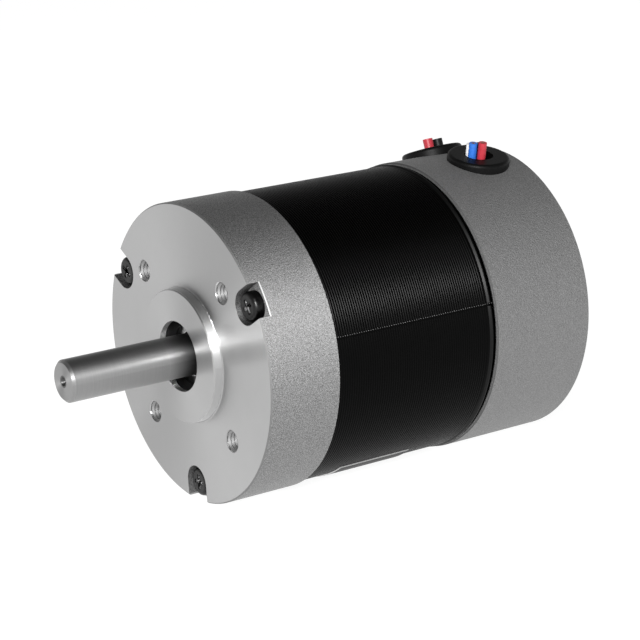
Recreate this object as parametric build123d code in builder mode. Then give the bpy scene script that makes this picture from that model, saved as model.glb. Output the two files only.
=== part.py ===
from build123d import *
import os
from math import asin, cos, pi, radians, sin, tan

# Brushless DC motor. Millimetres, shaft axis along Y with the output end towards -Y, leads out at +Z.
# The origin is the centre of the front mounting face, on the shaft axis.

# Caps and stack
cap_d = 57.0
front_cap_length = 14.7
stack_show = 36.2
rear_cap_length = 22.9
cap_step = 0.55
register_depth = 1.5
cap_edge = 0.25
back_edge = 0.5

# Front cap
pilot_wall = 1.7
pilot_height = 2.0
pilot_edge = 0.25
pilot_root = 0.3
shaft_bore_d = 13.4
lip_thickness = 1.1
bearing_setback = 1.9
relief_wall = 1.6
plate_behind_bearing = 0.6
cavity_wall = 1.05

# Mounting holes, M4 on the front face
mount_circle_d = 39.2
mount_count = 4
mount_angle = 45.0
thread_d = 4.0
thread_mouth_d = 4.3
thread_depth = 5.4
drill_tip = 1.0

# Long screws that hold the caps together, M3
screw_inset = 3.5
screw_count = 3
screw_angle = 30.0
screw_d = 3.0
screw_hole_gap = 0.15
thread_reach = 5.0
head_d = 5.5
head_height = 2.0
head_round = 0.8
head_gap = 0.55
notch_depth = 2.4
recess_span = 2.9
recess_width = 0.75
recess_depth = 1.3
recess_taper_angle = 12.0

# Rear cap
chamber_wall = 3.1
rear_wall = 3.0
hub_wall = 2.5
hub_recess = 0.5
boss_wall = 1.3
boss_spare = 1.5

# Bearings, 8 x 22 x 7
bearing_d = 22.0
bearing_bore = 8.0
bearing_width = 7.0
ball_d = 3.97
ball_count = 7
shoulder_gap = 1.45
ring_round = 0.3
shield_grip = 0.6
shield_gap = 0.3
shield_thickness = 0.3
shield_inset = 0.35
shield_seat_depth = 0.75
cage_width = 4.4
cage_wall = 1.8
washer_gap = 0.2
washer_band = 1.0
washer_height = 0.8
washer_strip = 0.3

# Stator
slot_count = 12
bore_ratio = 0.52
tooth_ratio = 0.53
yoke_width = 6.55
tooth_tip = 1.0
tooth_tip_taper = 0.8
slot_opening = 2.2
weld_count = 3
weld_angle = 13.0
weld_groove = 0.3
insulator_plate = 0.8
insulator_skin = 0.3
insulator_fence = 3.2
fence_wall = 1.3
coil_gap = 0.45
coil_end_build = 2.6
coil_round = 1.6

# Rotor
magnet_count = 8
magnet_thickness = 2.8
air_gap = 0.5
magnet_front_margin = 0.5
magnet_spacing = 1.0
rib_width = 0.7
rib_height = 1.0
shaft_reach = 26.0
shaft_chamfer = 0.5
shaft_undersize = 0.01
shaft_shoulder = 1.0
journal_lead = 0.2
relief_width = 0.6
relief_depth = 0.25
centre_mouth_d = 1.7
centre_drill_d = 0.8
centre_cone = 0.7
centre_depth = 2.2

# Hall board
sensor_gap = 1.3
sensor_thickness = 1.5
sensor_width = 4.1
sensor_height = 3.0
sensor_bevel = 0.3
sensor_count = 3
sensor_angle = 30.0
sensor_leg = 0.4
sensor_leg_reach = 1.4
sensor_leg_pitch = 1.27
board_thickness = 1.6
board_shaft_gap = 4.0
board_wall_gap = 3.6
board_start_angle = -46.0
board_span_angle = 142.0
board_corner = 1.5
post_inset = 4.8
post_angles = (-38.0, 42.0)
post_d = 4.4
board_screw_d = 2.0
board_screw_length = 6.0
board_screw_head_d = 3.6
board_screw_head = 1.3

# Grommets and leads
grommet_margin = 0.35
signal_angle = 76.8
power_angle = 107.0
grommet_hole_d = 9.4
flange_lip = 1.45
flange_thickness = 1.3
flange_round = 0.7
inner_lip = 0.7
inner_flange_thickness = 1.2
lead_hole_d = 5.7
signal_lead_stand = 2.3
power_lead_stand = 1.7
lead_splay_ratio = 1.04
cut_across_slant = 0.45
cut_along_slant = 0.2
signal_lead_d = 1.65
power_lead_d = 2.0
bend_ratio = 1.4
board_lead_rise = 5.25
hall_ring_angle = 157.0
hall_ring_ratio = 1.08
ring_place_count = 6
phase_ring_angle = -66.0
phase_ring_ratio = 0.63
phase_ring_shift = 0.43
first_phase_coil = 4
yellow_swing_angle = 155.0
solder_inset = 5.2
solder_pitch = 1.9
solder_shift = 0.8

# Clearances
press_fit = 0.01
register_fit = 0.02
thread_fit = 0.01
glue_gap = 0.03
running_fit = 0.05
winding_fit = 0.05
rubber_fit = 0.02
washer_fit = 0.02
same_radius = 0.01

# Radii worked out from the sizes above
cap_r = cap_d / 2
stack_r = cap_r - cap_step
register_r = stack_r + register_fit
chamber_r = cap_r - chamber_wall
screw_circle_r = cap_r - screw_inset
screw_hole_r = screw_d / 2 + screw_hole_gap
cavity_r = screw_circle_r - screw_hole_r - cavity_wall
notch_r = head_d / 2 + head_gap
boss_r = screw_d / 2 + boss_wall
bearing_r = bearing_d / 2
seat_r = bearing_r + press_fit
pilot_r = bearing_r + pilot_wall
hub_r = bearing_r + hub_wall
ball_r = ball_d / 2
groove_r = ball_r + running_fit
ball_circle_r = (bearing_d + bearing_bore) / 4
inner_shoulder_r = ball_circle_r - shoulder_gap
outer_shoulder_r = ball_circle_r + shoulder_gap
shield_outer_r = outer_shoulder_r + shield_grip
shield_inner_r = inner_shoulder_r + shield_gap
washer_r = bearing_r - washer_gap
bore_r = bore_ratio * stack_r
tooth_width = tooth_ratio * 2 * pi * bore_r / slot_count
yoke_inner_r = stack_r - yoke_width
tip_root_r = bore_r + tooth_tip + tooth_tip_taper
fence_outer_r = screw_circle_r - boss_r - winding_fit
fence_inner_r = fence_outer_r - fence_wall
magnet_outer_r = bore_r - air_gap
rotor_core_r = magnet_outer_r - magnet_thickness - glue_gap
shaft_r = bearing_bore / 2 - shaft_undersize
rotor_seat_r = bearing_bore / 2 + shaft_shoulder
board_inner_r = rotor_seat_r + board_shaft_gap
board_outer_r = chamber_r - board_wall_gap
post_circle_r = board_outer_r - post_inset
solder_row_r = board_outer_r - solder_inset
flange_r = grommet_hole_d / 2 + flange_lip
inner_flange_r = grommet_hole_d / 2 + inner_lip

# A coil fills its slot up to the gap, so its outer corners lie on the fence and beside the slot's middle line
slot_half = pi / slot_count
coil_corner_r = fence_inner_r - winding_fit
coil_corner_angle = slot_half - asin(coil_gap / 2 / coil_corner_r)
coil_inner_r = tip_root_r + winding_fit
coil_outer_r = coil_corner_r * cos(coil_corner_angle)
coil_inner_half = coil_inner_r * tan(slot_half) - coil_gap / 2 / cos(slot_half)
coil_outer_half = coil_corner_r * sin(coil_corner_angle)

# Places along the axis
front_rim = front_cap_length
rear_rim = front_rim + stack_show
back = rear_rim + rear_cap_length
stack_front = front_rim - register_depth
stack_rear = rear_rim + register_depth
stack_length = stack_rear - stack_front
stack_middle = (stack_front + stack_rear) / 2
lip_back = lip_thickness - pilot_height
bearing_face = lip_back + bearing_setback
front_bearing_y = bearing_face + bearing_width / 2
face_plate = bearing_face + bearing_width + plate_behind_bearing
boss_height = thread_reach + boss_spare
screw_length = stack_rear + thread_reach - notch_depth
wall_inner = back - rear_wall
hub_front = wall_inner - hub_recess - bearing_width
rear_bearing_y = hub_front + hub_recess + bearing_width / 2
hub_floor = rear_bearing_y + bearing_width / 2 + washer_height
coil_rear = stack_rear + insulator_plate + winding_fit + coil_end_build
grommet_y = wall_inner - inner_flange_r - grommet_margin
board_rear = grommet_y - board_lead_rise
board_front = board_rear - board_thickness
magnet_front = stack_front + magnet_front_margin
magnet_rear = board_front - sensor_thickness - sensor_gap


def face_plane(y):
    """A plane across the shaft axis that faces the output end, with X across and Z up."""
    return Plane.XZ.offset(-y)


def radial_plane(angle, radius, y):
    """A plane square to a radius, with the shaft axis across and the tangent up."""
    outward = (cos(radians(angle)), 0, sin(radians(angle)))
    origin = (radius * outward[0], y, radius * outward[2])
    return Plane(origin=origin, x_dir=(0, 1, 0), z_dir=outward)


def circles(part, radius):
    """The round edges of one radius."""
    return part.edges().filter_by(GeomType.CIRCLE).filter_by(lambda edge: abs(edge.radius - radius) < same_radius)


def save(part, name):
    part.label = name
    export_step(part, "parts/" + name + ".step")


os.makedirs("parts", exist_ok=True)

# Front cap: one turned and drilled piece
with BuildPart() as front_cap:
    with BuildSketch(Plane.XY):
        with BuildLine():
            Polyline(
                (shaft_bore_d / 2, -pilot_height),
                (pilot_r - pilot_edge, -pilot_height),
                (pilot_r, -pilot_height + pilot_edge),
                (pilot_r, 0),
                (cap_r - cap_edge, 0),
                (cap_r, cap_edge),
                (cap_r, front_rim),
                (register_r, front_rim),
                (register_r, stack_front),
                (cavity_r, stack_front),
                (cavity_r, face_plate),
                (seat_r, face_plate),
                (seat_r, bearing_face),
                (seat_r - relief_wall, bearing_face),
                (seat_r - relief_wall, lip_back),
                (shaft_bore_d / 2, lip_back),
                close=True,
            )
        make_face()
    revolve(axis=Axis.Y)
    fillet(circles(front_cap, pilot_r).sort_by(Axis.Y)[-1], pilot_root)
    with BuildSketch(face_plane(0)):
        with PolarLocations(screw_circle_r, screw_count, start_angle=screw_angle):
            Circle(notch_r)
            with Locations((screw_inset, 0)):
                Rectangle(2 * screw_inset, 2 * notch_r)
    extrude(amount=-notch_depth, mode=Mode.SUBTRACT)
    with BuildSketch(face_plane(0)):
        with PolarLocations(screw_circle_r, screw_count, start_angle=screw_angle):
            Circle(screw_hole_r)
    extrude(amount=-stack_front, mode=Mode.SUBTRACT)
    with Locations(face_plane(0)):
        with PolarLocations(mount_circle_d / 2, mount_count, start_angle=mount_angle):
            CounterSinkHole(thread_d / 2, thread_mouth_d / 2, depth=thread_depth)
            with Locations((0, 0, -thread_depth)):
                Cone(0, thread_d / 2, drill_tip, align=(Align.CENTER, Align.CENTER, Align.MAX), mode=Mode.SUBTRACT)
save(front_cap.part, "front_cap")

# Stator core: one welded stack of sheets, with twelve teeth and three weld grooves
with BuildPart() as stator_core:
    with BuildSketch(face_plane(stack_front)):
        Circle(stack_r)
        Circle(yoke_inner_r, mode=Mode.SUBTRACT)
        tip_half = bore_r * sin(slot_half) - slot_opening / 2
        with PolarLocations(0, slot_count):
            Polygon(
                (bore_r - tooth_tip, -tip_half),
                (bore_r + tooth_tip, -tip_half),
                (tip_root_r, -tooth_width / 2),
                (yoke_inner_r + tooth_tip, -tooth_width / 2),
                (yoke_inner_r + tooth_tip, tooth_width / 2),
                (tip_root_r, tooth_width / 2),
                (bore_r + tooth_tip, tip_half),
                (bore_r - tooth_tip, tip_half),
                align=None,
            )
        Circle(bore_r, mode=Mode.SUBTRACT)
        with PolarLocations(screw_circle_r, screw_count, start_angle=screw_angle):
            Circle(screw_hole_r, mode=Mode.SUBTRACT)
        with PolarLocations(stack_r, weld_count, start_angle=weld_angle):
            Circle(weld_groove, mode=Mode.SUBTRACT)
    extrude(amount=-stack_length)
save(stator_core.part, "stator_core")


# Slot insulators: a moulded half at each end, with a fence, tooth covers and skins down the teeth
def slot_insulator(stack_face, outward):
    cover_width = tooth_width + 2 * (register_fit + insulator_skin)
    flange_inner = bore_r + winding_fit
    flange_half = flange_inner * sin(slot_half) - slot_opening / 2
    with BuildPart() as insulator:
        with BuildSketch(face_plane(stack_face)):
            Circle(fence_outer_r)
            Circle(fence_inner_r, mode=Mode.SUBTRACT)
            with PolarLocations((flange_inner + fence_outer_r) / 2, slot_count):
                Rectangle(fence_outer_r - flange_inner - fence_wall / 2, cover_width)
            with PolarLocations((flange_inner + tip_root_r) / 2, slot_count):
                Rectangle(tip_root_r - flange_inner, 2 * flange_half)
        extrude(amount=-outward * insulator_plate)
        with BuildSketch(face_plane(stack_face)):
            Circle(fence_outer_r)
            Circle(fence_inner_r, mode=Mode.SUBTRACT)
            with PolarLocations((flange_inner + tip_root_r) / 2, slot_count):
                Rectangle(tip_root_r - flange_inner, 2 * flange_half)
        extrude(amount=-outward * insulator_fence)
        with BuildSketch(face_plane(stack_face)):
            with PolarLocations((tip_root_r + fence_inner_r) / 2, slot_count):
                Rectangle(fence_inner_r - tip_root_r, cover_width)
                Rectangle(fence_inner_r, tooth_width + 2 * register_fit, mode=Mode.SUBTRACT)
        extrude(amount=outward * (stack_length / 2 - register_fit))
    return insulator.part


save(slot_insulator(stack_front, -1), "front_insulator")
save(slot_insulator(stack_rear, 1), "rear_insulator")


# Coils: one wound on each tooth, thicker towards the yoke where the slot widens
def coil(angle):
    hole_width = tooth_width + 2 * (register_fit + insulator_skin + winding_fit)
    hole_length = stack_length + 2 * (insulator_plate + winding_fit)
    with BuildPart() as winding:
        with BuildSketch(radial_plane(angle, coil_inner_r, stack_middle)):
            RectangleRounded(hole_length + 2 * coil_end_build, 2 * coil_inner_half, coil_round)
        with BuildSketch(radial_plane(angle, coil_outer_r, stack_middle)):
            RectangleRounded(hole_length + 2 * coil_end_build, 2 * coil_outer_half, coil_round)
        loft()
        with BuildSketch(radial_plane(angle, coil_inner_r, stack_middle)):
            Rectangle(hole_length, hole_width)
        extrude(amount=coil_outer_r - coil_inner_r, mode=Mode.SUBTRACT)
    return winding.part


for number in range(slot_count):
    save(coil(number * 360 / slot_count), f"coil_{number + 1}")

# Rear cap: one cast and turned cup with the rear bearing hub, screw bosses and board posts
with BuildPart() as rear_cap:
    with BuildSketch(Plane.XY):
        with BuildLine():
            Polyline(
                (0, hub_floor),
                (seat_r, hub_floor),
                (seat_r, hub_front),
                (hub_r, hub_front),
                (hub_r, wall_inner),
                (chamber_r, wall_inner),
                (chamber_r, stack_rear),
                (register_r, stack_rear),
                (register_r, rear_rim),
                (cap_r - cap_edge, rear_rim),
                (cap_r, rear_rim + cap_edge),
                (cap_r, back - back_edge),
                (cap_r - back_edge, back),
                (0, back),
                close=True,
            )
        make_face()
    revolve(axis=Axis.Y)
    with BuildSketch(face_plane(stack_rear)):
        with PolarLocations(screw_circle_r, screw_count, start_angle=screw_angle):
            Circle(boss_r)
    extrude(amount=-boss_height)
    with BuildSketch(face_plane(stack_rear)):
        with PolarLocations(screw_circle_r, screw_count, start_angle=screw_angle):
            Circle(screw_d / 2 + thread_fit)
    extrude(amount=-boss_height, mode=Mode.SUBTRACT)
    with BuildSketch(face_plane(board_rear)):
        for angle in post_angles:
            with PolarLocations(post_circle_r, 1, start_angle=angle):
                Circle(post_d / 2)
    extrude(amount=-(wall_inner - board_rear))
    with BuildSketch(face_plane(board_rear)):
        for angle in post_angles:
            with PolarLocations(post_circle_r, 1, start_angle=angle):
                Circle(board_screw_d / 2 + thread_fit)
    extrude(amount=-board_screw_length, mode=Mode.SUBTRACT)
    for angle in (signal_angle, power_angle):
        with BuildSketch(radial_plane(angle, cap_r, grommet_y)):
            Circle(grommet_hole_d / 2)
        extrude(amount=-2 * chamber_wall, mode=Mode.SUBTRACT)
save(rear_cap.part, "rear_cap")

# Through bolts: three long M3 screws with pan heads and a cross recess
with BuildPart() as through_bolts:
    with BuildSketch(face_plane(notch_depth)):
        with PolarLocations(screw_circle_r, screw_count, start_angle=screw_angle):
            Circle(head_d / 2)
    extrude(amount=head_height)
    head_rims = through_bolts.edges().filter_by(GeomType.CIRCLE).group_by(Axis.Y)[0]
    fillet(head_rims, head_round)
    with BuildSketch(face_plane(notch_depth - head_height)):
        with PolarLocations(screw_circle_r, screw_count, start_angle=screw_angle):
            Rectangle(recess_span, recess_width)
            Rectangle(recess_width, recess_span)
    extrude(amount=-recess_depth, taper=recess_taper_angle, mode=Mode.SUBTRACT)
    with BuildSketch(face_plane(notch_depth)):
        with PolarLocations(screw_circle_r, screw_count, start_angle=screw_angle):
            Circle(screw_d / 2)
    extrude(amount=-screw_length)
save(through_bolts.part, "through_bolts")


# Ball bearings: each ring, the balls, the cage and both shields are pieces of their own
def bearing_outer_ring(y):
    with BuildPart() as ring:
        with BuildSketch(Plane.XY):
            with Locations(((bearing_r + outer_shoulder_r) / 2, y)):
                Rectangle(bearing_r - outer_shoulder_r, bearing_width)
            with Locations((ball_circle_r, y)):
                Circle(groove_r, mode=Mode.SUBTRACT)
            seat_y = bearing_width / 2 - shield_seat_depth / 2
            with Locations((outer_shoulder_r, y - seat_y), (outer_shoulder_r, y + seat_y)):
                Rectangle(2 * shield_grip, shield_seat_depth, mode=Mode.SUBTRACT)
        revolve(axis=Axis.Y)
        fillet(circles(ring, bearing_r), ring_round)
    return ring.part


def bearing_inner_ring(y):
    inner_r = bearing_bore / 2 + press_fit
    with BuildPart() as ring:
        with BuildSketch(Plane.XY):
            with Locations(((inner_r + inner_shoulder_r) / 2, y)):
                Rectangle(inner_shoulder_r - inner_r, bearing_width)
            with Locations((ball_circle_r, y)):
                Circle(groove_r, mode=Mode.SUBTRACT)
        revolve(axis=Axis.Y)
        fillet(circles(ring, inner_r), ring_round)
    return ring.part


def bearing_balls(y):
    with BuildPart() as balls:
        with Locations(face_plane(y)):
            with PolarLocations(ball_circle_r, ball_count):
                Sphere(ball_r)
    return balls.part


def bearing_cage(y):
    with BuildPart() as cage:
        with BuildSketch(Plane.XY):
            with Locations((ball_circle_r, y)):
                Rectangle(cage_wall, cage_width)
        revolve(axis=Axis.Y)
        for number in range(ball_count):
            with BuildSketch(radial_plane(number * 360 / ball_count, ball_circle_r, y)):
                Circle(groove_r)
            extrude(amount=cage_wall, both=True, mode=Mode.SUBTRACT)
    return cage.part


def bearing_shield(y, side):
    middle = y + side * (bearing_width / 2 - shield_inset - shield_thickness / 2)
    with BuildPart() as shield:
        with BuildSketch(Plane.XY):
            with Locations(((shield_outer_r + shield_inner_r) / 2, middle)):
                Rectangle(shield_outer_r - shield_inner_r - press_fit, shield_thickness)
        revolve(axis=Axis.Y)
    return shield.part


for name, y in (("front_bearing", front_bearing_y), ("rear_bearing", rear_bearing_y)):
    save(bearing_outer_ring(y), name + "_outer_ring")
    save(bearing_inner_ring(y), name + "_inner_ring")
    save(bearing_balls(y), name + "_balls")
    save(bearing_cage(y), name + "_cage")
    save(bearing_shield(y, -1), name + "_front_shield")
    save(bearing_shield(y, 1), name + "_rear_shield")

# Preload washer: a sprung ring, bowed across one diameter, behind the rear bearing
with BuildPart() as preload_washer:
    with BuildSketch(Plane.XY):
        with BuildLine():
            low = hub_floor - washer_height + washer_fit
            high = hub_floor - washer_strip - washer_fit
            ThreePointArc((-washer_r, low), (0, high), (washer_r, low))
            Line((washer_r, low), (washer_r, low + washer_strip))
            ThreePointArc((washer_r, low + washer_strip), (0, high + washer_strip), (-washer_r, low + washer_strip))
            Line((-washer_r, low + washer_strip), (-washer_r, low))
        make_face()
    extrude(amount=2 * washer_r, both=True)
    with BuildSketch(face_plane(hub_floor)):
        Circle(washer_r)
        Circle(washer_r - washer_band, mode=Mode.SUBTRACT)
    extrude(amount=washer_height, mode=Mode.INTERSECT)
save(preload_washer.part, "preload_washer")

# Shaft: ground output end, a relief groove, two bearing journals and a larger seat between them for the rotor
with BuildPart() as shaft:
    front_shoulder = front_bearing_y + bearing_width / 2
    rear_shoulder = rear_bearing_y - bearing_width / 2
    shaft_end = rear_bearing_y + bearing_width / 2
    with BuildSketch(Plane.XY):
        with BuildLine():
            Polyline(
                (0, centre_depth - shaft_reach),
                (centre_drill_d / 2, centre_depth - shaft_reach),
                (centre_drill_d / 2, centre_cone - shaft_reach),
                (centre_mouth_d / 2, -shaft_reach),
                (shaft_r - shaft_chamfer, -shaft_reach),
                (shaft_r, shaft_chamfer - shaft_reach),
                (shaft_r, bearing_face - journal_lead - relief_width),
                (shaft_r - relief_depth, bearing_face - journal_lead - relief_width),
                (shaft_r - relief_depth, bearing_face - journal_lead),
                (bearing_bore / 2, bearing_face - journal_lead),
                (bearing_bore / 2, front_shoulder),
                (rotor_seat_r, front_shoulder),
                (rotor_seat_r, rear_shoulder),
                (bearing_bore / 2, rear_shoulder),
                (bearing_bore / 2, shaft_end - shaft_chamfer),
                (bearing_bore / 2 - shaft_chamfer, shaft_end),
                (0, shaft_end),
                close=True,
            )
        make_face()
    revolve(axis=Axis.Y)
save(shaft.part, "shaft")

# Rotor core: a stack of sheets pressed on the shaft, with a rib between each two magnets
with BuildPart() as rotor_core:
    with BuildSketch(face_plane(magnet_front)):
        Circle(rotor_core_r)
        rib_reach = rotor_core_r + rib_height
        with PolarLocations(rib_reach / 2, magnet_count, start_angle=180 / magnet_count):
            Rectangle(rib_reach, rib_width)
        Circle(rotor_seat_r + press_fit, mode=Mode.SUBTRACT)
    extrude(amount=-(magnet_rear - magnet_front))
save(rotor_core.part, "rotor_core")


# Magnets: eight arcs glued on the core
def magnet(angle):
    half_angle = pi / magnet_count
    edge_inner = rotor_core_r + glue_gap
    with BuildPart() as arc:
        with BuildSketch(face_plane(magnet_front)):
            Circle(magnet_outer_r)
            Circle(edge_inner, mode=Mode.SUBTRACT)
            with PolarLocations(0, 1, start_angle=angle):
                reach = 2 * magnet_outer_r
                near = magnet_spacing / 2
                Polygon(
                    (near / sin(half_angle), 0),
                    (reach * cos(half_angle), -reach * sin(half_angle) + near / cos(half_angle)),
                    (reach * cos(half_angle), reach * sin(half_angle) - near / cos(half_angle)),
                    align=None,
                    mode=Mode.INTERSECT,
                )
        extrude(amount=-(magnet_rear - magnet_front))
    return arc.part


for number in range(magnet_count):
    save(magnet(number * 360 / magnet_count), f"magnet_{number + 1}")

# Hall board: an arc of circuit board behind the magnets, screwed to the two posts of the rear cap
with BuildPart() as hall_board:
    with BuildSketch(face_plane(board_front)):
        with BuildLine():
            outer_arc = CenterArc((0, 0), board_outer_r, board_start_angle, board_span_angle)
            inner_arc = CenterArc((0, 0), board_inner_r, board_start_angle, board_span_angle)
            Line(outer_arc @ 0, inner_arc @ 0)
            Line(outer_arc @ 1, inner_arc @ 1)
        board_face = make_face()
        fillet(board_face.vertices(), board_corner)
        for angle in post_angles:
            with PolarLocations(post_circle_r, 1, start_angle=angle):
                Circle(board_screw_d / 2 + winding_fit, mode=Mode.SUBTRACT)
    extrude(amount=-board_thickness)
save(hall_board.part, "hall_board")


# Hall sensors: flat on the board, over the ends of the magnets
def hall_sensor(angle):
    sensor_r = magnet_outer_r - magnet_thickness / 2
    with BuildPart() as sensor:
        with BuildSketch(face_plane(board_front)):
            with PolarLocations(sensor_r, 1, start_angle=angle):
                Rectangle(sensor_height, sensor_width)
        extrude(amount=sensor_thickness)
        chamfer(sensor.faces().sort_by(Axis.Y)[0].edges(), sensor_bevel)
        with BuildSketch(face_plane(board_front)):
            with PolarLocations(sensor_r + sensor_height / 2, 1, start_angle=angle):
                with GridLocations(0, sensor_leg_pitch, 1, 3):
                    Rectangle(2 * sensor_leg_reach, sensor_leg)
        extrude(amount=sensor_leg)
    return sensor.part


for number in range(sensor_count):
    save(hall_sensor(number * sensor_angle), f"hall_sensor_{number + 1}")

# Board screws: two short M2 screws into the posts
with BuildPart() as board_screws:
    with BuildSketch(face_plane(board_front)):
        for angle in post_angles:
            with PolarLocations(post_circle_r, 1, start_angle=angle):
                Circle(board_screw_head_d / 2)
    extrude(amount=board_screw_head)
    fillet(board_screws.edges().filter_by(GeomType.CIRCLE).group_by(Axis.Y)[0], board_screw_head / 2)
    with BuildSketch(face_plane(board_front)):
        for angle in post_angles:
            with PolarLocations(post_circle_r, 1, start_angle=angle):
                Circle(board_screw_d / 2)
    extrude(amount=-board_screw_length)
save(board_screws.part, "board_screws")


# Grommets: rubber, with a flange outside and inside that follow the curved wall
def grommet(angle):
    hole_wall = chamber_wall
    middle = face_plane(grommet_y)
    with BuildPart() as inner_flange:
        with BuildSketch(radial_plane(angle, chamber_r - inner_flange_thickness, grommet_y)):
            Circle(inner_flange_r)
        extrude(amount=hole_wall)
        with BuildSketch(middle):
            Circle(chamber_r - rubber_fit)
        extrude(amount=2 * flange_r, both=True, mode=Mode.INTERSECT)
    with BuildPart() as body:
        with BuildSketch(radial_plane(angle, chamber_r, grommet_y)):
            Circle(flange_r)
        extrude(amount=hole_wall + flange_thickness)
        fillet(body.edges().filter_by(GeomType.CIRCLE).sort_by(Axis.Z)[-1], flange_round)
        with BuildSketch(middle):
            Circle(cap_r + rubber_fit)
        extrude(amount=2 * flange_r, both=True, mode=Mode.SUBTRACT)
        with BuildSketch(radial_plane(angle, chamber_r - inner_flange_thickness, grommet_y)):
            Circle(grommet_hole_d / 2 - rubber_fit)
        extrude(amount=hole_wall + inner_flange_thickness + flange_thickness / 2)
        add(inner_flange.part)
        with BuildSketch(radial_plane(angle, chamber_r - 2 * inner_flange_thickness, grommet_y)):
            Circle(lead_hole_d / 2)
        extrude(amount=2 * (hole_wall + flange_thickness), mode=Mode.SUBTRACT)
    return body.part


save(grommet(signal_angle), "signal_grommet")
save(grommet(power_angle), "power_grommet")


# Leads: each is one insulated lead from its joint inside, through the grommet, to its cut end
def at(angle, radius, across, y):
    """A point at a radius, a distance across towards +X, and a place along the shaft axis."""
    outward = (cos(radians(angle)), sin(radians(angle)))
    return (
        radius * outward[0] + across * outward[1],
        y,
        radius * outward[1] - across * outward[0],
    )


def lead(points, diameter):
    with BuildPart() as cable:
        with BuildLine() as route:
            FilletPolyline(*points, radius=bend_ratio * diameter)
        with BuildSketch(Plane(origin=route.line @ 0, z_dir=route.line % 0)):
            Circle(diameter / 2)
        sweep()
    return cable.part


def cut_radius(stand, across, along):
    """Where a lead ends: the bundle is snipped at a slant, higher in front."""
    return cap_r + flange_thickness + stand + across * cut_across_slant - along * cut_along_slant


entry_r = chamber_r - inner_flange_thickness - signal_lead_d

# Hall leads: four of the six places round a fifth, soldered side by side in the order that they stand across
def hall_lead(across, along, row):
    foot_across = solder_shift + (row - (len(hall_places) - 1) / 2) * solder_pitch
    level = grommet_y + along
    tip_r = cut_radius(signal_lead_stand, across, along)
    points = [
        at(signal_angle, solder_row_r, foot_across, board_rear),
        at(signal_angle, solder_row_r, foot_across, level),
        at(signal_angle, entry_r, across, level),
        at(signal_angle, tip_r, across * lead_splay_ratio, grommet_y + along * lead_splay_ratio),
    ]
    return lead(points, signal_lead_d)


ring_colors = ("yellow", "white", "blue", "red")
ring_r = hall_ring_ratio * signal_lead_d
hall_places = {"black": (0, 0)}
for number, color in enumerate(ring_colors):
    turn = radians(hall_ring_angle + number * 360 / ring_place_count)
    hall_places[color] = (ring_r * cos(turn), ring_r * sin(turn))
for row, color in enumerate(sorted(hall_places, key=hall_places.get)):
    save(hall_lead(*hall_places[color], row), "hall_lead_" + color)

# Phase leads: each rises from its own coil and turns in towards the grommet, clear of the others
phase_colors = ("red", "black", "yellow")
phase_turn_r = {"red": entry_r, "black": (coil_inner_r + coil_outer_r) / 2, "yellow": entry_r}
for number, color in enumerate(phase_colors):
    coil_angle = (first_phase_coil + number) * 360 / slot_count
    turn = radians(phase_ring_angle + number * 360 / len(phase_colors))
    across = phase_ring_ratio * power_lead_d * cos(turn)
    along = phase_ring_shift + phase_ring_ratio * power_lead_d * sin(turn)
    level = grommet_y + along
    tip_r = cut_radius(power_lead_stand, across, along)
    phase_points = [
        at(coil_angle, (coil_inner_r + coil_outer_r) / 2, 0, coil_rear),
        at(coil_angle, (coil_inner_r + coil_outer_r) / 2, 0, level),
        at(power_angle, phase_turn_r[color], across, level),
        at(power_angle, tip_r, across, level),
    ]
    if color == "yellow":
        phase_points.insert(2, at(yellow_swing_angle, (coil_outer_r + entry_r) / 2, 0, level))
    save(lead(phase_points, power_lead_d), "phase_lead_" + color)
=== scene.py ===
import bpy
import bmesh
from math import cos, pi, radians, sin
from mathutils import Matrix, Vector


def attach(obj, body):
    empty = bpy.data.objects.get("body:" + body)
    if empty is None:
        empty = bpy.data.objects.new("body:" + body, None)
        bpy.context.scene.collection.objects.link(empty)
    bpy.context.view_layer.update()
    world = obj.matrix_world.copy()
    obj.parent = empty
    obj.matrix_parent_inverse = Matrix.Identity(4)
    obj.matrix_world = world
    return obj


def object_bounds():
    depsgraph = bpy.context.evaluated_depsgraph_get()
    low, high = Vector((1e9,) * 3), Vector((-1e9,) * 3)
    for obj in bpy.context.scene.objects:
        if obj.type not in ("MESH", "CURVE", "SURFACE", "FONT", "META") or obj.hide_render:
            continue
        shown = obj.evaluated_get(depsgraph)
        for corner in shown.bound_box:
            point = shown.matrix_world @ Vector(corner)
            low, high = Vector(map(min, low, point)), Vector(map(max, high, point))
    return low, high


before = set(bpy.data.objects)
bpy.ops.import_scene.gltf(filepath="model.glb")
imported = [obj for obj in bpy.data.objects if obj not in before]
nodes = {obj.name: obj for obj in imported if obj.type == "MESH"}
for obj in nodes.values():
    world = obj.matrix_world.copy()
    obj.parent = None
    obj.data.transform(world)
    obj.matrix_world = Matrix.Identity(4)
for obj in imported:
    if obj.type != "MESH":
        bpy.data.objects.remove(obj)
cad_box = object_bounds()

# Sizes in metres, with the shaft along Y and the front face at 0: the frame gives the radius and both ends
MICRON = 0.000001
CAP_R = cad_box[1][0]
SHAFT_END = cad_box[0][1]
REAR_FACE = cad_box[1][1]
FRONT_RIM = 0.0147
REAR_RIM = 0.0509
CUP_INNER_R = 0.0252
CAP_EDGE = 0.00025
PILOT_R = 0.0127
BORE_LIP_R = 0.0068
TURNING_PITCH = 0.00011
LIP_GROOVE_PITCH = 0.00028

# Three screws, each in a notch that is open to the rim
SCREW_ANGLES = (30, 150, 270)
SCREW_CIRCLE_R = 0.025
NOTCH_R = 0.0033
NOTCH_DEPTH = 0.0024
HEAD_TOP = 0.0004
RECESS_R = 0.0012

# Shaft: painted shade darkening it towards the bore, and a centre hole in its end with painted shade on its
# floor
ROOT_SHADE_START = -0.006
ROOT_SHADE_END = -0.0005
CENTRE_HOLE_R = 0.0011
CENTRE_HOLE_DEPTH = 0.0018

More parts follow.
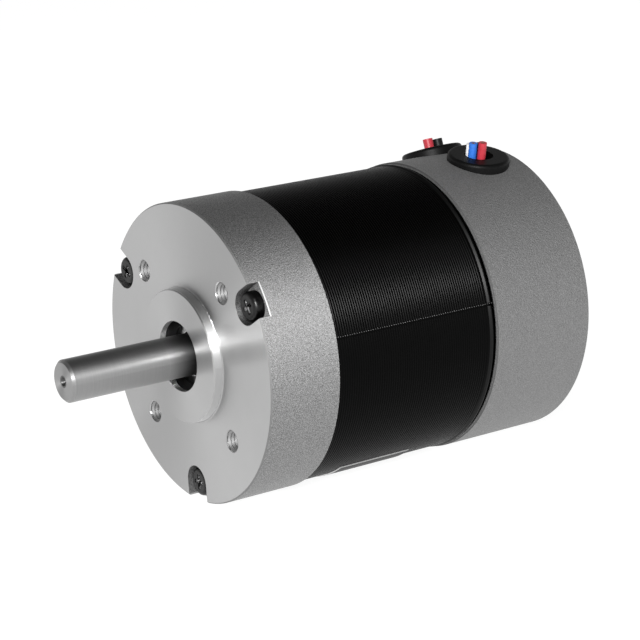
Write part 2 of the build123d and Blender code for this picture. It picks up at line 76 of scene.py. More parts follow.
# Four tapped holes, M4 with the standard 0.7 mm pitch
MOUNT_CIRCLE_R = 0.0196
MOUNT_ANGLES = (45, 135, 225, 315)
HOLE_R = 0.002
THREAD_CREST_R = 0.00165
THREAD_PITCH = 0.0007
THREAD_HALF_WIDTH = 0.46 * THREAD_PITCH
THREAD_TURNS = 7
THREAD_START = 0.00038
THREAD_STEPS = 40

# Black stack: sheets in three sectors between weld seams, then a thick end sheet and a raised ring
SHEET_PITCH = 0.000515
SHEET_COUNT = 66
SHEET_INNER_R = 0.0278
SHEET_OUTER_R = 0.02804
SHEET_EDGE = 0.00013
SHEET_STEPS = 54
EDGE_SLOPE = 0.68
SEAM_ANGLES = (10.3, 130.3, 250.3)
SEAM_HALF_ANGLE = 0.62
FIRST_SHEET_GAP = SHEET_PITCH / 10
END_SHEET_GAP = 0.0003
END_RING_START = 0.0493
END_RING_END = 0.0505
END_RING_R = 0.0283
END_RING_EDGE = 0.0005
END_STEPS = 60
BARE_STEEL_R = 0.0275
BEAD_R = 0.000125
BEAD_STRETCH = 1.05
BEAD_TOP_R = 0.0281
BEAD_SHIFT = 0.3
BEAD_PITCH = SHEET_PITCH

# Black-faced plate with bare edges, glued under the stack
PLATE_START = -107
PLATE_SWEEP = 49.5
PLATE_FRONT = 0.0225
PLATE_REAR = 0.0385
PLATE_THICKNESS = 0.00024
PLATE_R = SHEET_OUTER_R + PLATE_THICKNESS
PLATE_EDGE = 40 * MICRON
PLATE_STEPS = 40

# Copper: wires in the coils, and one strand with six round it in each lead's cut end
WIRE_PITCH = 0.0006
SIGNAL_ANGLE = 76.8
POWER_ANGLE = 107.0
CUT_END_BAND = 0.00012
STRAND_SHARE = 0.16
STRAND_SPACING = 2.05
STRAND_STAND = 10 * MICRON
STRAND_EDGE = 8 * MICRON

# Studio: lights aim at the middle of the motor, and the surround fades from the horizon upwards
LIGHT_AIM = (0, 0.03, 0)
FLOOR_SIZE = 8
FLOOR_GAP = 50 * MICRON
FLOOR_GLOW = 0.94
SKY_OVERHEAD = 0.06
SKY_FADE = 0.86

# Camera: ahead of the shaft's end and to its +X side, looking down at the motor
CAMERA_PLACE = (0.3480, -0.2001, 0.1030)
CAMERA_TURN = 56.5298
CAMERA_DROP = 13.7415
CAMERA_ROLL = 3.4709
CAMERA_LENS = 125.203


# Node helpers
def add(tree, kind, inputs=None, **settings):
    """A node of one kind, with its settings, and with each input set or linked."""
    made = tree.nodes.new(kind)
    for key, value in settings.items():
        setattr(made, key, value)
    for socket, value in (inputs or {}).items():
        if isinstance(value, bpy.types.NodeSocket):
            tree.links.new(value, made.inputs[socket])
        else:
            made.inputs[socket].default_value = value
    return made


def calc(tree, operation, first, second=0.0):
    return add(tree, "ShaderNodeMath", {0: first, 1: second}, operation=operation).outputs[0]


def times(tree, first, second):
    """A product, which is also the overlap of two masks."""
    return calc(tree, "MULTIPLY", first, second)


def outside_of(tree, mask):
    return calc(tree, "SUBTRACT", 1.0, mask)


def distance(tree, across, up):
    return calc(tree, "SQRT", calc(tree, "ADD", times(tree, across, across), times(tree, up, up)))


def nearest(tree, distances):
    near = distances[0]
    for other in distances[1:]:
        near = calc(tree, "MINIMUM", near, other)
    return near


def between(tree, value, start, end):
    """0 up to start, 1 from end on, and straight between. It runs backwards where end is the smaller."""
    inputs = {"Value": value, "From Min": start, "From Max": end}
    return add(tree, "ShaderNodeMapRange", inputs).outputs["Result"]


def spread(tree, value, low, high):
    """A 0 to 1 value spread from low to high."""
    inputs = {"Value": value, "To Min": low, "To Max": high}
    return add(tree, "ShaderNodeMapRange", inputs).outputs["Result"]


def blend_value(tree, share, first, second):
    return add(tree, "ShaderNodeMix", {"Factor": share, 2: first, 3: second}).outputs[0]


def blend_normal(tree, share, first, second):
    inputs = {"Factor": share, 4: first, 5: second}
    return add(tree, "ShaderNodeMix", inputs, data_type="VECTOR").outputs[1]


def blend_color(tree, share, first, second):
    inputs = {"Factor": share, 6: first, 7: second}
    return add(tree, "ShaderNodeMix", inputs, data_type="RGBA").outputs[2]


def grey(level):
    return (level, level, level, 1)


def blend_greys(tree, share, first, second):
    return blend_color(tree, share, grey(first), grey(second))


def place_of(tree, stretch=(1, 1, 1)):
    """Object coordinates in metres, stretched along each axis."""
    here = add(tree, "ShaderNodeTexCoord").outputs["Object"]
    return add(tree, "ShaderNodeMapping", {"Vector": here, "Scale": stretch}).outputs["Vector"]


def place_parts(tree):
    split = add(tree, "ShaderNodeSeparateXYZ", {"Vector": place_of(tree)})
    return split.outputs["X"], split.outputs["Y"], split.outputs["Z"]


def axis_parts(tree):
    """Distance from the shaft axis, and place along it."""
    across, along, up = place_parts(tree)
    return distance(tree, across, up), along


def grain(tree, scale, detail=2.0, stretch=(1, 1, 1)):
    inputs = {"Vector": place_of(tree, stretch), "Scale": scale, "Detail": detail}
    return add(tree, "ShaderNodeTexNoise", inputs).outputs["Fac"]


def rings(tree, value, pitch):
    """Fine grooves of one pitch along a value in metres."""
    return calc(tree, "SINE", times(tree, value, 2 * pi / pitch))


def relief(tree, height, depth, strength):
    inputs = {"Height": height, "Distance": depth, "Strength": strength}
    return add(tree, "ShaderNodeBump", inputs).outputs["Normal"]


def finish_of(name, metallic, roughness, color, **extras):
    """A material, its tree and its shader, with the plain values set on the shader's own sockets."""
    finish = bpy.data.materials.new(name)
    finish.use_nodes = True
    tree = finish.node_tree
    shader = tree.nodes["Principled BSDF"]
    shader.inputs["Base Color"].default_value = color
    shader.inputs["Metallic"].default_value = metallic
    shader.inputs["Roughness"].default_value = roughness
    for socket, value in extras.items():
        shader.inputs[socket.replace("_", " ")].default_value = value
    finish.diffuse_color = color
    return finish, tree, shader


def join(tree, value, shader, socket):
    tree.links.new(value, shader.inputs[socket])


# Aluminium: turned faces, with blasted outsides
def turned_lay(tree, shader):
    """Turning marks run round the shaft axis, so highlights spread across them."""
    lay = add(tree, "ShaderNodeTangent", direction_type="RADIAL", axis="Y").outputs[0]
    join(tree, lay, shader, "Tangent")


def blasted_grain(tree, scale):
    fine = grain(tree, scale, detail=3.0)
    coarse = grain(tree, scale / 2)
    return calc(tree, "ADD", times(tree, fine, 0.75), times(tree, coarse, 0.25))


def notch_distance(tree):
    """Distance to the middle line of the nearest screw notch, which runs out to the rim."""
    across, along, up = place_parts(tree)
    distances = []
    for angle in SCREW_ANGLES:
        to_x, to_z = cos(radians(angle)), sin(radians(angle))
        outward = calc(tree, "ADD", times(tree, across, to_x), times(tree, up, to_z))
        sideways = calc(tree, "SUBTRACT", times(tree, up, to_x), times(tree, across, to_z))
        inward = calc(tree, "MINIMUM", calc(tree, "SUBTRACT", outward, SCREW_CIRCLE_R), 0.0)
        distances.append(distance(tree, inward, sideways))
    return nearest(tree, distances)


def notch_wear_and_glints(tree, notch_away, along):
    """Thin bright edges where a notch meets the rim, part wear and part painted highlight: bright at its
    floor, fainter up its walls.
    """
    floor_edge = times(
        tree,
        between(tree, notch_away, NOTCH_R + 100 * MICRON, NOTCH_R + 60 * MICRON),
        between(tree, along, NOTCH_DEPTH + 160 * MICRON, NOTCH_DEPTH + 100 * MICRON),
    )
    near_floor = between(tree, along, NOTCH_DEPTH - 400 * MICRON, NOTCH_DEPTH - 100 * MICRON)
    wall_edge = times(
        tree,
        between(tree, notch_away, NOTCH_R + 250 * MICRON, NOTCH_R + 50 * MICRON),
        between(tree, along, NOTCH_DEPTH, NOTCH_DEPTH - 200 * MICRON),
    )
    return calc(tree, "MAXIMUM", times(tree, floor_edge, near_floor), times(tree, wall_edge, 0.2))


def front_cap_finish():
    finish, tree, shader = finish_of(
        "front_cap_aluminium",
        metallic=1.0,
        roughness=0.34,
        color=grey(0.46),
        Anisotropic=0.95,
        Anisotropic_Rotation=0.25,
    )
    turned_lay(tree, shader)
    reach, along = axis_parts(tree)
    notch_away = notch_distance(tree)
    rim = between(tree, reach, CAP_R - CAP_EDGE - 20 * MICRON, CAP_R - CAP_EDGE)
    outside = times(tree, rim, between(tree, along, 1 * MICRON, 6 * MICRON))
    below_face = between(tree, along, 30 * MICRON, 80 * MICRON)
    in_notch = between(tree, notch_away, NOTCH_R + 40 * MICRON, NOTCH_R + 20 * MICRON)
    in_notch = times(tree, times(tree, below_face, in_notch), outside_of(tree, rim))
    blasted = calc(tree, "MAXIMUM", outside, in_notch)
    face_edge = times(tree, rim, between(tree, along, CAP_EDGE + 30 * MICRON, CAP_EDGE))
    notch_wear_and_glint = times(tree, notch_wear_and_glints(tree, notch_away, along), rim)
    pilot_side = times(
        tree,
        between(tree, along, -200 * MICRON, -300 * MICRON),
        between(tree, reach, PILOT_R - 100 * MICRON, PILOT_R - 60 * MICRON),
    )
    # Painted highlights and shade: the bore lip is painted light, in bright and dark stripes for its lathe
    # grooves
    bore_lip = between(tree, reach, BORE_LIP_R, BORE_LIP_R - 100 * MICRON)
    lip_groove_light_and_shade = between(tree, rings(tree, along, LIP_GROOVE_PITCH), -0.7, 0.7)
    turning = rings(tree, calc(tree, "ADD", reach, along), TURNING_PITCH)
    grit = blasted_grain(tree, scale=7600)
    worn = grain(tree, scale=180, detail=3.0)

    turned_color = blend_greys(tree, worn, 0.44, 0.48)
    turned_color = blend_color(tree, pilot_side, turned_color, grey(0.7))
    turned_color = blend_color(tree, bore_lip, turned_color, blend_greys(tree, lip_groove_light_and_shade, 0.3, 0.9))
    blasted_color = blend_greys(tree, between(tree, grit, 0.36, 0.64), 0.19, 0.52)
    blasted_color = blend_color(tree, face_edge, blasted_color, grey(0.36))
    # Painted highlight with wear: the notch edges are painted bright
    blasted_color = blend_color(tree, notch_wear_and_glint, blasted_color, grey(0.75))
    notch_color = blend_greys(tree, between(tree, grit, 0.38, 0.62), 0.06, 0.3)
    blasted_color = blend_color(tree, in_notch, blasted_color, notch_color)
    join(tree, blend_color(tree, blasted, turned_color, blasted_color), shader, "Base Color")

    turned_rough = blend_value(tree, pilot_side, spread(tree, worn, 0.32, 0.36), 0.6)
    join(tree, blend_value(tree, blasted, turned_rough, 0.94), shader, "Roughness")
    turned = relief(tree, turning, depth=0.9 * MICRON, strength=0.5)
    peened = relief(tree, blasted_grain(tree, scale=4400), depth=120 * MICRON, strength=0.9)
    join(tree, blend_normal(tree, blasted, turned, peened), shader, "Normal")
    return finish


def rear_cap_finish():
    finish, tree, shader = finish_of("rear_cap_aluminium", metallic=1.0, roughness=0.7, color=grey(0.3))
    reach, along = axis_parts(tree)
    inside = times(
        tree,
        between(tree, reach, CUP_INNER_R + 300 * MICRON, CUP_INNER_R + 200 * MICRON),
        between(tree, along, REAR_FACE - 800 * MICRON, REAR_FACE - 1000 * MICRON),
    )
    # Painted shade on the front chamfer, where the cap meets the stack
    front_edge_shade = times(
        tree,
        between(tree, along, REAR_RIM + CAP_EDGE + 30 * MICRON, REAR_RIM + CAP_EDGE),
        between(tree, reach, CAP_R - CAP_EDGE, CAP_R - CAP_EDGE + 30 * MICRON),
    )
    grit = blasted_grain(tree, scale=6000)
    cast = grain(tree, scale=900, detail=3.0)
    outer_color = blend_greys(tree, between(tree, grit, 0.38, 0.62), 0.21, 0.32)
    outer_color = blend_color(tree, front_edge_shade, outer_color, grey(0.13))
    inner_color = blend_greys(tree, cast, 0.3, 0.42)
    join(tree, blend_color(tree, inside, outer_color, inner_color), shader, "Base Color")
    join(tree, spread(tree, cast, 0.66, 0.74), shader, "Roughness")
    peened = relief(tree, blasted_grain(tree, scale=4400), depth=200 * MICRON, strength=0.9)
    join(tree, peened, shader, "Normal")
    return finish


# Stack: black paint outside, painted shade in the gap behind the end ring, and bare sheets inside
def stack_finish(name, roughness, gloss):
    finish, tree, shader = finish_of(
        name, metallic=0.0, roughness=roughness, color=grey(0.001), Specular_IOR_Level=gloss
    )
    reach, along = axis_parts(tree)
    inside = between(tree, reach, BARE_STEEL_R + 100 * MICRON, BARE_STEEL_R)
    gap_start = END_RING_END - END_RING_EDGE
    gap_shade = between(tree, along, gap_start, gap_start + 50 * MICRON)
    gap_shade = times(tree, gap_shade, outside_of(tree, inside))
    mottle = grain(tree, scale=420, detail=4.0)
    paint = blend_greys(tree, mottle, 0.0003, 0.001)
    # Painted shade: the gap behind the end ring is painted black and dull
    paint = blend_color(tree, gap_shade, paint, grey(0))
    bare = blend_greys(tree, grain(tree, scale=1500, stretch=(0.1, 8, 0.1)), 0.16, 0.34)
    join(tree, blend_color(tree, inside, paint, bare), shader, "Base Color")
    join(tree, calc(tree, "MAXIMUM", inside, gap_shade), shader, "Metallic")
    painted_rough = spread(tree, mottle, roughness - 0.015, roughness + 0.015)
    join(tree, blend_value(tree, gap_shade, painted_rough, 1.0), shader, "Roughness")
    join(tree, relief(tree, mottle, depth=2 * MICRON, strength=0.2), shader, "Normal")
    return finish


# Shaft, screws and plain metal
def ground_finish():
    finish, tree, shader = finish_of(
        "ground_shaft_steel",
        metallic=1.0,
        roughness=0.47,
        color=grey(0.33),
        Anisotropic=0.72,
        Anisotropic_Rotation=0.25,
    )
    turned_lay(tree, shader)
    reach, along = axis_parts(tree)
    lay = grain(tree, scale=900, detail=3.0, stretch=(0.15, 14, 0.15))
    # Painted shade: the shaft's colour darkens towards the bore
    root_shade = between(tree, along, ROOT_SHADE_START, ROOT_SHADE_END)
    hole_floor = SHAFT_END + CENTRE_HOLE_DEPTH
    # Painted shade on the floor of the centre hole
    centre_hole_shade = times(
        tree,
        between(tree, along, hole_floor + 200 * MICRON, hole_floor),
        between(tree, reach, CENTRE_HOLE_R + 80 * MICRON, CENTRE_HOLE_R),
    )
    ground = blend_greys(tree, lay, 0.28, 0.36)
    ground = blend_color(tree, root_shade, ground, grey(0.05))
    ground = blend_color(tree, centre_hole_shade, ground, grey(0.12))
    join(tree, ground, shader, "Base Color")
    join(tree, spread(tree, lay, 0.44, 0.5), shader, "Roughness")
    join(tree, relief(tree, lay, depth=3 * MICRON, strength=0.4), shader, "Normal")
    return finish


def metal_finish(name, dark, light, rough, scale=700):
    """Plain metal: patches from dark to light, with the least and the greatest roughness."""
    finish, tree, shader = finish_of(name, metallic=1.0, roughness=sum(rough) / 2, color=grey(light))
    patch = grain(tree, scale, detail=4.0)
    join(tree, blend_greys(tree, patch, dark, light), shader, "Base Color")
    join(tree, spread(tree, patch, *rough), shader, "Roughness")
    bumps = relief(tree, grain(tree, scale * 6), depth=10 * MICRON, strength=0.4)
    join(tree, bumps, shader, "Normal")
    return finish


def screw_finish():
    """Blackened steel, with painted shade deep in the cross recess, and bright spots there that are part
    wear, part painted glints.
    """
    finish, tree, shader = finish_of(
        "blackened_screw_steel", metallic=1.0, roughness=0.35, color=grey(0.03)
    )
    patch = grain(tree, scale=1800, detail=4.0)
    across, along, up = place_parts(tree)
    distances = []
    for angle in SCREW_ANGLES:
        from_x = calc(tree, "SUBTRACT", across, SCREW_CIRCLE_R * cos(radians(angle)))
        from_z = calc(tree, "SUBTRACT", up, SCREW_CIRCLE_R * sin(radians(angle)))
        distances.append(distance(tree, from_x, from_z))
    recess = times(
        tree,
        between(tree, nearest(tree, distances), RECESS_R + 400 * MICRON, RECESS_R),
        between(tree, along, HEAD_TOP + 120 * MICRON, HEAD_TOP + 350 * MICRON),
    )
    worn = times(tree, recess, between(tree, grain(tree, scale=1500, detail=1.0), 0.5, 0.53))
    color = blend_greys(tree, patch, 0.012, 0.05)
    # Painted shade: the recess is painted near black; its bright spots are part wear, part painted glints
    color = blend_color(tree, recess, color, grey(0.003))
    join(tree, blend_color(tree, worn, color, grey(0.95)), shader, "Base Color")
    join(tree, spread(tree, patch, 0.26, 0.44), shader, "Roughness")
    join(tree, relief(tree, patch, depth=30 * MICRON, strength=0.5), shader, "Normal")
    return finish


# Plastics, rubber, plate and copper
def plastic_finish(name, dark, light, rough, scale=900, depth=10 * MICRON, **extras):
    """Plastic or rubber: patches from dark to light, with the least and the greatest roughness."""
    finish, tree, shader = finish_of(name, metallic=0.0, roughness=sum(rough) / 2, color=light, **extras)
    patch = grain(tree, scale, detail=3.0)
    join(tree, blend_color(tree, patch, dark, light), shader, "Base Color")
    join(tree, spread(tree, patch, *rough), shader, "Roughness")
    join(tree, relief(tree, grain(tree, scale * 4), depth, strength=0.5), shader, "Normal")
    return finish


def plate_finish():
    """Black printed face, with bare cut edges."""
    finish, tree, shader = finish_of(
        "plate_aluminium", metallic=0.6, roughness=0.4, color=grey(0.6), Specular_IOR_Level=0.05
    )
    reach = axis_parts(tree)[0]
    face = between(tree, reach, PLATE_R - 0.1 * PLATE_THICKNESS, PLATE_R - 0.04 * PLATE_THICKNESS)
    brushed = grain(tree, scale=900, detail=3.0, stretch=(1, 0.1, 1))
    bare = blend_greys(tree, brushed, 0.75, 0.95)
    join(tree, blend_color(tree, face, bare, grey(0.004)), shader, "Base Color")
    join(tree, times(tree, outside_of(tree, face), 0.8), shader, "Metallic")
    join(tree, spread(tree, brushed, 0.34, 0.46), shader, "Roughness")
    return finish


def copper_finish(name):
    finish, tree, shader = finish_of(
        name, metallic=1.0, roughness=0.25, color=(0.6, 0.22, 0.08, 1), Coat_Weight=0.6
    )
    reach = axis_parts(tree)[0]
    tone = grain(tree, scale=500, detail=3.0)
    color = blend_color(tree, tone, (0.42, 0.13, 0.05, 1), (0.72, 0.29, 0.11, 1))
    join(tree, color, shader, "Base Color")
    join(tree, spread(tree, tone, 0.2, 0.36), shader, "Roughness")
    wires = relief(tree, rings(tree, reach, WIRE_PITCH), depth=120 * MICRON, strength=0.8)
    join(tree, wires, shader, "Normal")
    return finish


front_cap = front_cap_finish()
rear_cap = rear_cap_finish()
stack_paint = stack_finish("stack_paint", roughness=0.31, gloss=0.05)
end_paint = stack_finish("end_ring_paint", roughness=0.4, gloss=0.2)
bead_paint = metal_finish("bead_paint", dark=0.08, light=0.15, rough=(0.36, 0.46), scale=2400)
plate_metal = plate_finish()
thread_metal = metal_finish("tapped_aluminium", dark=0.26, light=0.4, rough=(0.5, 0.6), scale=1200)
shaft_steel = ground_finish()
screw_steel = screw_finish()
bearing_steel = metal_finish("bearing_steel", dark=0.5, light=0.62, rough=(0.1, 0.2))
cage_steel = metal_finish("cage_steel", dark=0.34, light=0.5, rough=(0.2, 0.34))
spring_steel = metal_finish("spring_steel", dark=0.2, light=0.34, rough=(0.25, 0.4))
sheet_steel = metal_finish("rotor_sheet_steel", dark=0.2, light=0.36, rough=(0.35, 0.5))
bright_screw = metal_finish("bright_screw_steel", dark=0.5, light=0.64, rough=(0.2, 0.32))
magnet_coat = metal_finish("magnet_coat", dark=0.1, light=0.18, rough=(0.34, 0.46), scale=1200)
coil_copper = copper_finish("enamelled_copper")
strand_copper = copper_finish("strand_copper")
nylon = plastic_finish("moulded_nylon", (0.62, 0.6, 0.54, 1), (0.74, 0.72, 0.66, 1), rough=(0.4, 0.55))
laminate = plastic_finish("board_laminate", (0.01, 0.09, 0.03, 1), (0.02, 0.16, 0.06, 1), rough=(0.25, 0.4))
resin = plastic_finish("sensor_resin", grey(0.012), grey(0.03), rough=(0.5, 0.65))
rubber = plastic_finish(
    "grommet_rubber",
    grey(0.0015),
    grey(0.004),
    rough=(0.4, 0.5),
    scale=1500,
    depth=20 * MICRON,
    Specular_IOR_Level=0.12,
)
seal_rubber = plastic_finish(
    "seal_rubber", grey(0.004), grey(0.012), rough=(0.35, 0.5), scale=1500, depth=20 * MICRON
)
lead_white = plastic_finish("lead_white", grey(0.74), grey(0.86), rough=(0.32, 0.42))
lead_yellow = plastic_finish("lead_yellow", (0.7, 0.42, 0.02, 1), (0.85, 0.55, 0.04, 1), rough=(0.32, 0.42))
lead_black = plastic_finish(
    "lead_black", grey(0.003), grey(0.007), rough=(0.4, 0.5), Specular_IOR_Level=0.2
)
lead_blue = plastic_finish("lead_blue", (0.015, 0.12, 0.5, 1), (0.03, 0.17, 0.62, 1), rough=(0.4, 0.5))
lead_red = plastic_finish("lead_red", (0.38, 0.018, 0.03, 1), (0.5, 0.03, 0.05, 1), rough=(0.4, 0.5))

# Each node's finish, by its name or by a word in it
NODE_FINISHES = {
    "front_cap": front_cap,
    "rear_cap": rear_cap,
    "stator_core": stack_paint,
    "shaft": shaft_steel,
    "through_bolts": screw_steel,
    "board_screws": bright_screw,
    "preload_washer": spring_steel,
    "rotor_core": sheet_steel,
    "hall_board": laminate,
    "front_insulator": nylon,
    "rear_insulator": nylon,
    "signal_grommet": rubber,
    "power_grommet": rubber,
    "lead_white": lead_white,
    "lead_yellow": lead_yellow,
    "lead_black": lead_black,
    "lead_blue": lead_blue,
    "lead_red": lead_red,
    "coil": coil_copper,
    "magnet": magnet_coat,
    "hall_sensor": resin,
    "shield": seal_rubber,
    "cage": cage_steel,
    "ring": bearing_steel,
    "balls": bearing_steel,
}


def finish_for_node(name):
    if name in NODE_FINISHES:
        return NODE_FINISHES[name]
    return next(finish for part, finish in NODE_FINISHES.items() if part in name)


for name, node in nodes.items():
    node.data.materials.clear()
    node.data.materials.append(finish_for_node(name))


# Modelling helpers
def clear_selection():
    bpy.ops.object.select_all(action="DESELECT")


def select_only(piece):
    clear_selection()
    piece.select_set(True)
    bpy.context.view_layer.objects.active = piece


def apply_place(piece):
    """Puts a piece's place and turn into its mesh, so that its object sits at the origin."""
    select_only(piece)
    bpy.ops.object.transform_apply(location=True, rotation=True, scale=True)


def apply_modifier(piece, name):
    bpy.context.view_layer.objects.active = piece
    bpy.ops.object.modifier_apply(modifier=name)


def select_points(piece, wanted):
    """In edit mode, only the points whose place is wanted."""
    bpy.ops.mesh.select_all(action="DESELECT")
    bpy.ops.mesh.select_mode(type="VERT")
    shape = bmesh.from_edit_mesh(piece.data)
    for point in shape.verts:
        point.select_set(wanted(point.co))
    shape.select_flush(True)
    bmesh.update_edit_mesh(piece.data)


def outline_box(name, inner, outer, low, high, edge, segments=1, slope=1.0):
    """A rectangle beside the shaft axis, its two outer corners cut off or rounded, as a bare outline."""
    clear_selection()
    bpy.ops.mesh.primitive_plane_add(size=1, location=(0, 0, 0))
    piece = bpy.context.active_object
    piece.name = name
    bpy.ops.object.mode_set(mode="EDIT")
    bpy.ops.mesh.select_all(action="SELECT")
    bpy.ops.transform.resize(value=((outer - inner) / slope, high - low, 1))
    select_points(piece, lambda place: place.x > 0)
    bpy.ops.mesh.bevel(offset=edge, segments=segments, affect="VERTICES")
    bpy.ops.mesh.select_all(action="SELECT")
    bpy.ops.transform.resize(value=(slope, 1, 1), center_override=(0, 0, 0))
    bpy.ops.transform.translate(value=((inner + outer) / 2, (low + high) / 2, 0))
    bpy.ops.mesh.delete(type="ONLY_FACE")
    bpy.ops.object.mode_set(mode="OBJECT")
    return piece


def turn_profile(piece, sweep, steps, rise=0.0, turns=1):
    """Turns an outline about the Y axis, from +X towards +Z, into a closed body."""
    turning = piece.modifiers.new("turning", "SCREW")
    turning.axis = "Y"
    turning.angle = -radians(sweep)
    turning.screw_offset = rise
    turning.iterations = turns
    turning.steps = steps
    turning.render_steps = steps
    apply_modifier(piece, "turning")
    bpy.ops.object.mode_set(mode="EDIT")
    bpy.ops.mesh.select_all(action="SELECT")
    bpy.ops.mesh.fill_holes(sides=16)
    bpy.ops.mesh.select_all(action="SELECT")
    bpy.ops.mesh.normals_make_consistent(inside=False)
    bpy.ops.object.mode_set(mode="OBJECT")


def repeat_along(piece, count, pitch):
    row = piece.modifiers.new("row", "ARRAY")
    row.use_relative_offset = False
    row.use_constant_offset = True
    row.constant_offset_displace = (0, pitch, 0)
    row.count = count
    apply_modifier(piece, "row")


def turn_in_place(piece, angle):
    """Turns a piece about the shaft axis, counted from +X towards +Z."""
    piece.rotation_euler = (0, -radians(angle), 0)
    apply_place(piece)


def copy_of(piece, name):
    select_only(piece)
    bpy.ops.object.duplicate(linked=False)
    twin = bpy.context.active_object
    twin.name = name
    return twin


def with_copies(piece, stem, total):
    """The piece and its copies, which are numbered from 2 on."""
    return [piece] + [copy_of(piece, f"{stem}_{number}") for number in range(2, total + 1)]


def smooth(piece, angle):
    select_only(piece)
    bpy.ops.object.shade_smooth_by_angle(angle=radians(angle))


def dress(piece, finish, body="housing"):
    piece.data.materials.clear()
    piece.data.materials.append(finish)
    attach(piece, body)


# Stack: sheet edges, a thick end sheet and a raised ring, each in three sectors
def stack_sectors():
    sweep = 360 / len(SEAM_ANGLES) - 2 * SEAM_HALF_ANGLE
    first_sheet = FRONT_RIM + FIRST_SHEET_GAP
    last_sheet = first_sheet + SHEET_COUNT * SHEET_PITCH
    sheets = outline_box(
        "sheet_edges_1",
        SHEET_INNER_R,
        SHEET_OUTER_R,
        first_sheet,
        first_sheet + SHEET_PITCH,
        SHEET_EDGE,
        slope=EDGE_SLOPE,
    )
    turn_profile(sheets, sweep, SHEET_STEPS)
    repeat_along(sheets, SHEET_COUNT, SHEET_PITCH)
    end_sheet = outline_box(
        "end_sheet_1",
        SHEET_INNER_R,
        SHEET_OUTER_R,
        last_sheet,
        REAR_RIM - END_SHEET_GAP,
        2 * SHEET_EDGE,
        segments=3,
    )
    turn_profile(end_sheet, sweep, END_STEPS)
    end_ring = outline_box(
        "end_ring_1",
        SHEET_INNER_R,
        END_RING_R,
        END_RING_START,
        END_RING_END,
        END_RING_EDGE,
        slope=EDGE_SLOPE,
    )
    turn_profile(end_ring, sweep, END_STEPS)
    rows = (
        (sheets, "sheet_edges", stack_paint),
        (end_sheet, "end_sheet", stack_paint),
        (end_ring, "end_ring", end_paint),
    )
    for piece, stem, paint in rows:
        smooth(piece, angle=25)
        for part, seam in zip(with_copies(piece, stem, 3), SEAM_ANGLES):
            turn_in_place(part, seam + SEAM_HALF_ANGLE)
            dress(part, paint)


def weld_beads():
    clear_selection()
    bpy.ops.mesh.primitive_uv_sphere_add(segments=10, ring_count=7, radius=BEAD_R, location=(0, 0, 0))
    bead = bpy.context.active_object
    bead.name = "weld_bead_1"
    bpy.ops.object.mode_set(mode="EDIT")
    bpy.ops.mesh.select_all(action="SELECT")
    bpy.ops.transform.resize(value=(1, BEAD_STRETCH, 1))
    bpy.ops.transform.translate(value=(BEAD_TOP_R - BEAD_R, FRONT_RIM + BEAD_PITCH / 2, 0))
    bpy.ops.object.mode_set(mode="OBJECT")
    repeat_along(bead, int((REAR_RIM - FRONT_RIM) / BEAD_PITCH), BEAD_PITCH)
    smooth(bead, angle=60)
    for part, seam in zip(with_copies(bead, "weld_bead", 3), SEAM_ANGLES):
        turn_in_place(part, seam + BEAD_SHIFT)
        dress(part, bead_paint)


def underside_plate():
    plate = outline_box("underside_plate", SHEET_OUTER_R, PLATE_R, PLATE_FRONT, PLATE_REAR, PLATE_EDGE)
    turn_profile(plate, PLATE_SWEEP, PLATE_STEPS)
    smooth(plate, angle=35)
    turn_in_place(plate, PLATE_START)
    dress(plate, plate_metal)


# Tapped holes: one right-handed ridge wound down each hole
def tapped_threads():
    clear_selection()
    bpy.ops.mesh.primitive_circle_add(vertices=4, radius=1, location=(0, 0, 0))
    ridge = bpy.context.active_object
    ridge.name = "mount_thread_1"
    bpy.ops.object.mode_set(mode="EDIT")
    bpy.ops.mesh.select_all(action="SELECT")
    bpy.ops.transform.resize(value=(HOLE_R - THREAD_CREST_R, THREAD_HALF_WIDTH, 1))
    bpy.ops.transform.translate(value=(HOLE_R, THREAD_START, 0))
    bpy.ops.object.mode_set(mode="OBJECT")
    turn_profile(ridge, sweep=-360, steps=THREAD_STEPS, rise=THREAD_PITCH, turns=THREAD_TURNS)
    smooth(ridge, angle=40)
    for part, angle in zip(with_copies(ridge, "mount_thread", 4), MOUNT_ANGLES):
        part.location = (MOUNT_CIRCLE_R * cos(radians(angle)), 0, MOUNT_CIRCLE_R * sin(radians(angle)))
        apply_place(part)
        dress(part, thread_metal)


# Leads: seven copper strands in each cut end
def cut_end(node, outward):
    """The middle and the radius of a lead's cut end."""
    points = [point.co for point in node.data.vertices]
    reach = max(point.dot(outward) for point in points)
    rim = [point for point in points if point.dot(outward) > reach - CUT_END_BAND]
    centre = sum(rim, Vector()) / len(rim)
    return centre, max((point - centre).length for point in rim)


def strand_bundle(name, radius):
    """The cut ends of one strand and six round it, facing up at the origin."""
    clear_selection()
    bpy.ops.mesh.primitive_cylinder_add(
        vertices=12, radius=radius, depth=4 * STRAND_STAND, location=(0, 0, 0)
    )
    bundle = bpy.context.active_object
    bundle.name = name
    bpy.ops.object.mode_set(mode="EDIT")
    select_points(bundle, lambda place: place.z > 0)
    bpy.ops.mesh.bevel(offset=STRAND_EDGE, segments=2, affect="EDGES")
    bpy.ops.object.mode_set(mode="OBJECT")
    strands = [copy_of(bundle, f"strand_{number}") for number in range(6)]
    select_only(bundle)
    for number, strand in enumerate(strands):
        turn = number * pi / 3
        strand.location = Vector((cos(turn), sin(turn), 0)) * STRAND_SPACING * radius
        strand.select_set(True)
    bpy.ops.object.join()
    return bundle


def lead_strands():
    for name, node in nodes.items():
        if "lead_" not in name:
            continue
        angle = SIGNAL_ANGLE if name.startswith("hall") else POWER_ANGLE
        outward = Vector((cos(radians(angle)), 0, sin(radians(angle))))
        centre, radius = cut_end(node, outward)
        bundle = strand_bundle(name.replace("lead", "strands"), radius * STRAND_SHARE)
        bundle.rotation_euler = (0, radians(90 - angle), 0)
        bundle.location = centre - outward * STRAND_STAND
        apply_place(bundle)
        smooth(bundle, angle=40)
        dress(bundle, strand_copper)


stack_sectors()
weld_beads()
underside_plate()
tapped_threads()
lead_strands()


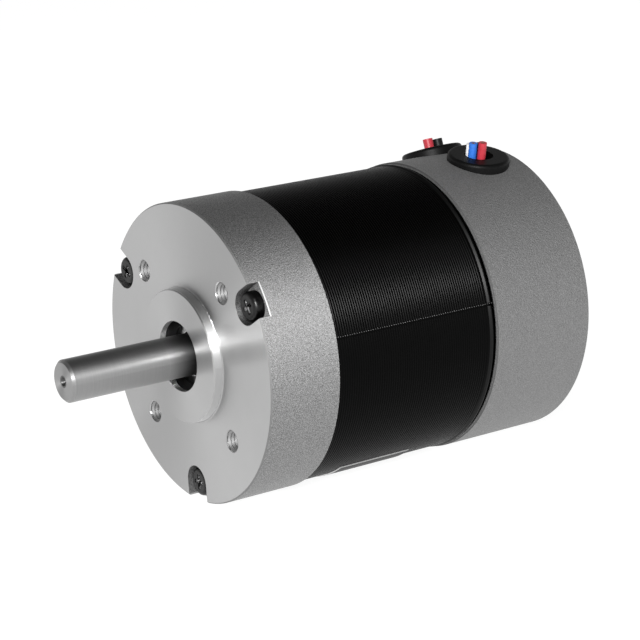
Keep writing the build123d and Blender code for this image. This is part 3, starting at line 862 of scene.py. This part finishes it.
# Camera, floor and light
def put_camera():
    camera_data = bpy.data.cameras.new("camera")
    camera_data.lens = CAMERA_LENS
    camera_data.sensor_width = 36.0
    camera_data.clip_start = 0.01
    camera_data.clip_end = 20.0
    camera = bpy.data.objects.new("camera", camera_data)
    bpy.context.scene.collection.objects.link(camera)
    camera.matrix_world = (
        Matrix.Translation(CAMERA_PLACE)
        @ Matrix.Rotation(radians(CAMERA_TURN), 4, "Z")
        @ Matrix.Rotation(radians(90 - CAMERA_DROP), 4, "X")
        @ Matrix.Rotation(radians(-CAMERA_ROLL), 4, "Z")
    )
    bpy.context.scene.camera = camera


def put_floor():
    clear_selection()
    bpy.ops.mesh.primitive_plane_add(size=FLOOR_SIZE, location=(0, 0, -CAP_R - FLOOR_GAP))
    floor = bpy.context.active_object
    floor.name = "floor"
    pale = finish_of(
        "floor_pale",
        metallic=0.0,
        roughness=0.9,
        color=grey(0.2),
        Emission_Color=grey(1),
        Emission_Strength=FLOOR_GLOW,
        Specular_IOR_Level=0.0,
    )[0]
    floor.data.materials.append(pale)


def put_softbox(name, place, width, height, power):
    light = bpy.data.lights.new(name, "AREA")
    light.shape = "RECTANGLE"
    light.size = width
    light.size_y = height
    light.energy = power
    box = bpy.data.objects.new(name, light)
    bpy.context.scene.collection.objects.link(box)
    box.location = place
    box.rotation_euler = (Vector(LIGHT_AIM) - Vector(place)).to_track_quat("-Z", "Y").to_euler()
    box.visible_camera = False


def put_sky():
    """A pale surround: nearly as bright as the floor at the horizon, and dark overhead."""
    world = bpy.data.worlds.new("studio")
    world.use_nodes = True
    tree = world.node_tree
    towards = add(tree, "ShaderNodeTexCoord").outputs["Generated"]
    up = add(tree, "ShaderNodeSeparateXYZ", {"Vector": towards}).outputs["Z"]
    level = calc(tree, "SUBTRACT", 1.0, calc(tree, "MAXIMUM", up, 0.0))
    level = times(tree, times(tree, level, level), SKY_FADE)
    background = tree.nodes["Background"]
    background.inputs["Color"].default_value = grey(1)
    tree.links.new(calc(tree, "ADD", level, SKY_OVERHEAD), background.inputs["Strength"])
    bpy.context.scene.world = world


put_camera()
put_floor()
put_softbox("key_box", place=(0.9, -0.72, 0.46), width=0.4, height=0.18, power=18)
put_softbox("high_box", place=(0.72, -0.62, 0.85), width=0.5, height=0.35, power=2.6)
put_sky()
bpy.context.scene.view_settings.view_transform = "Standard"
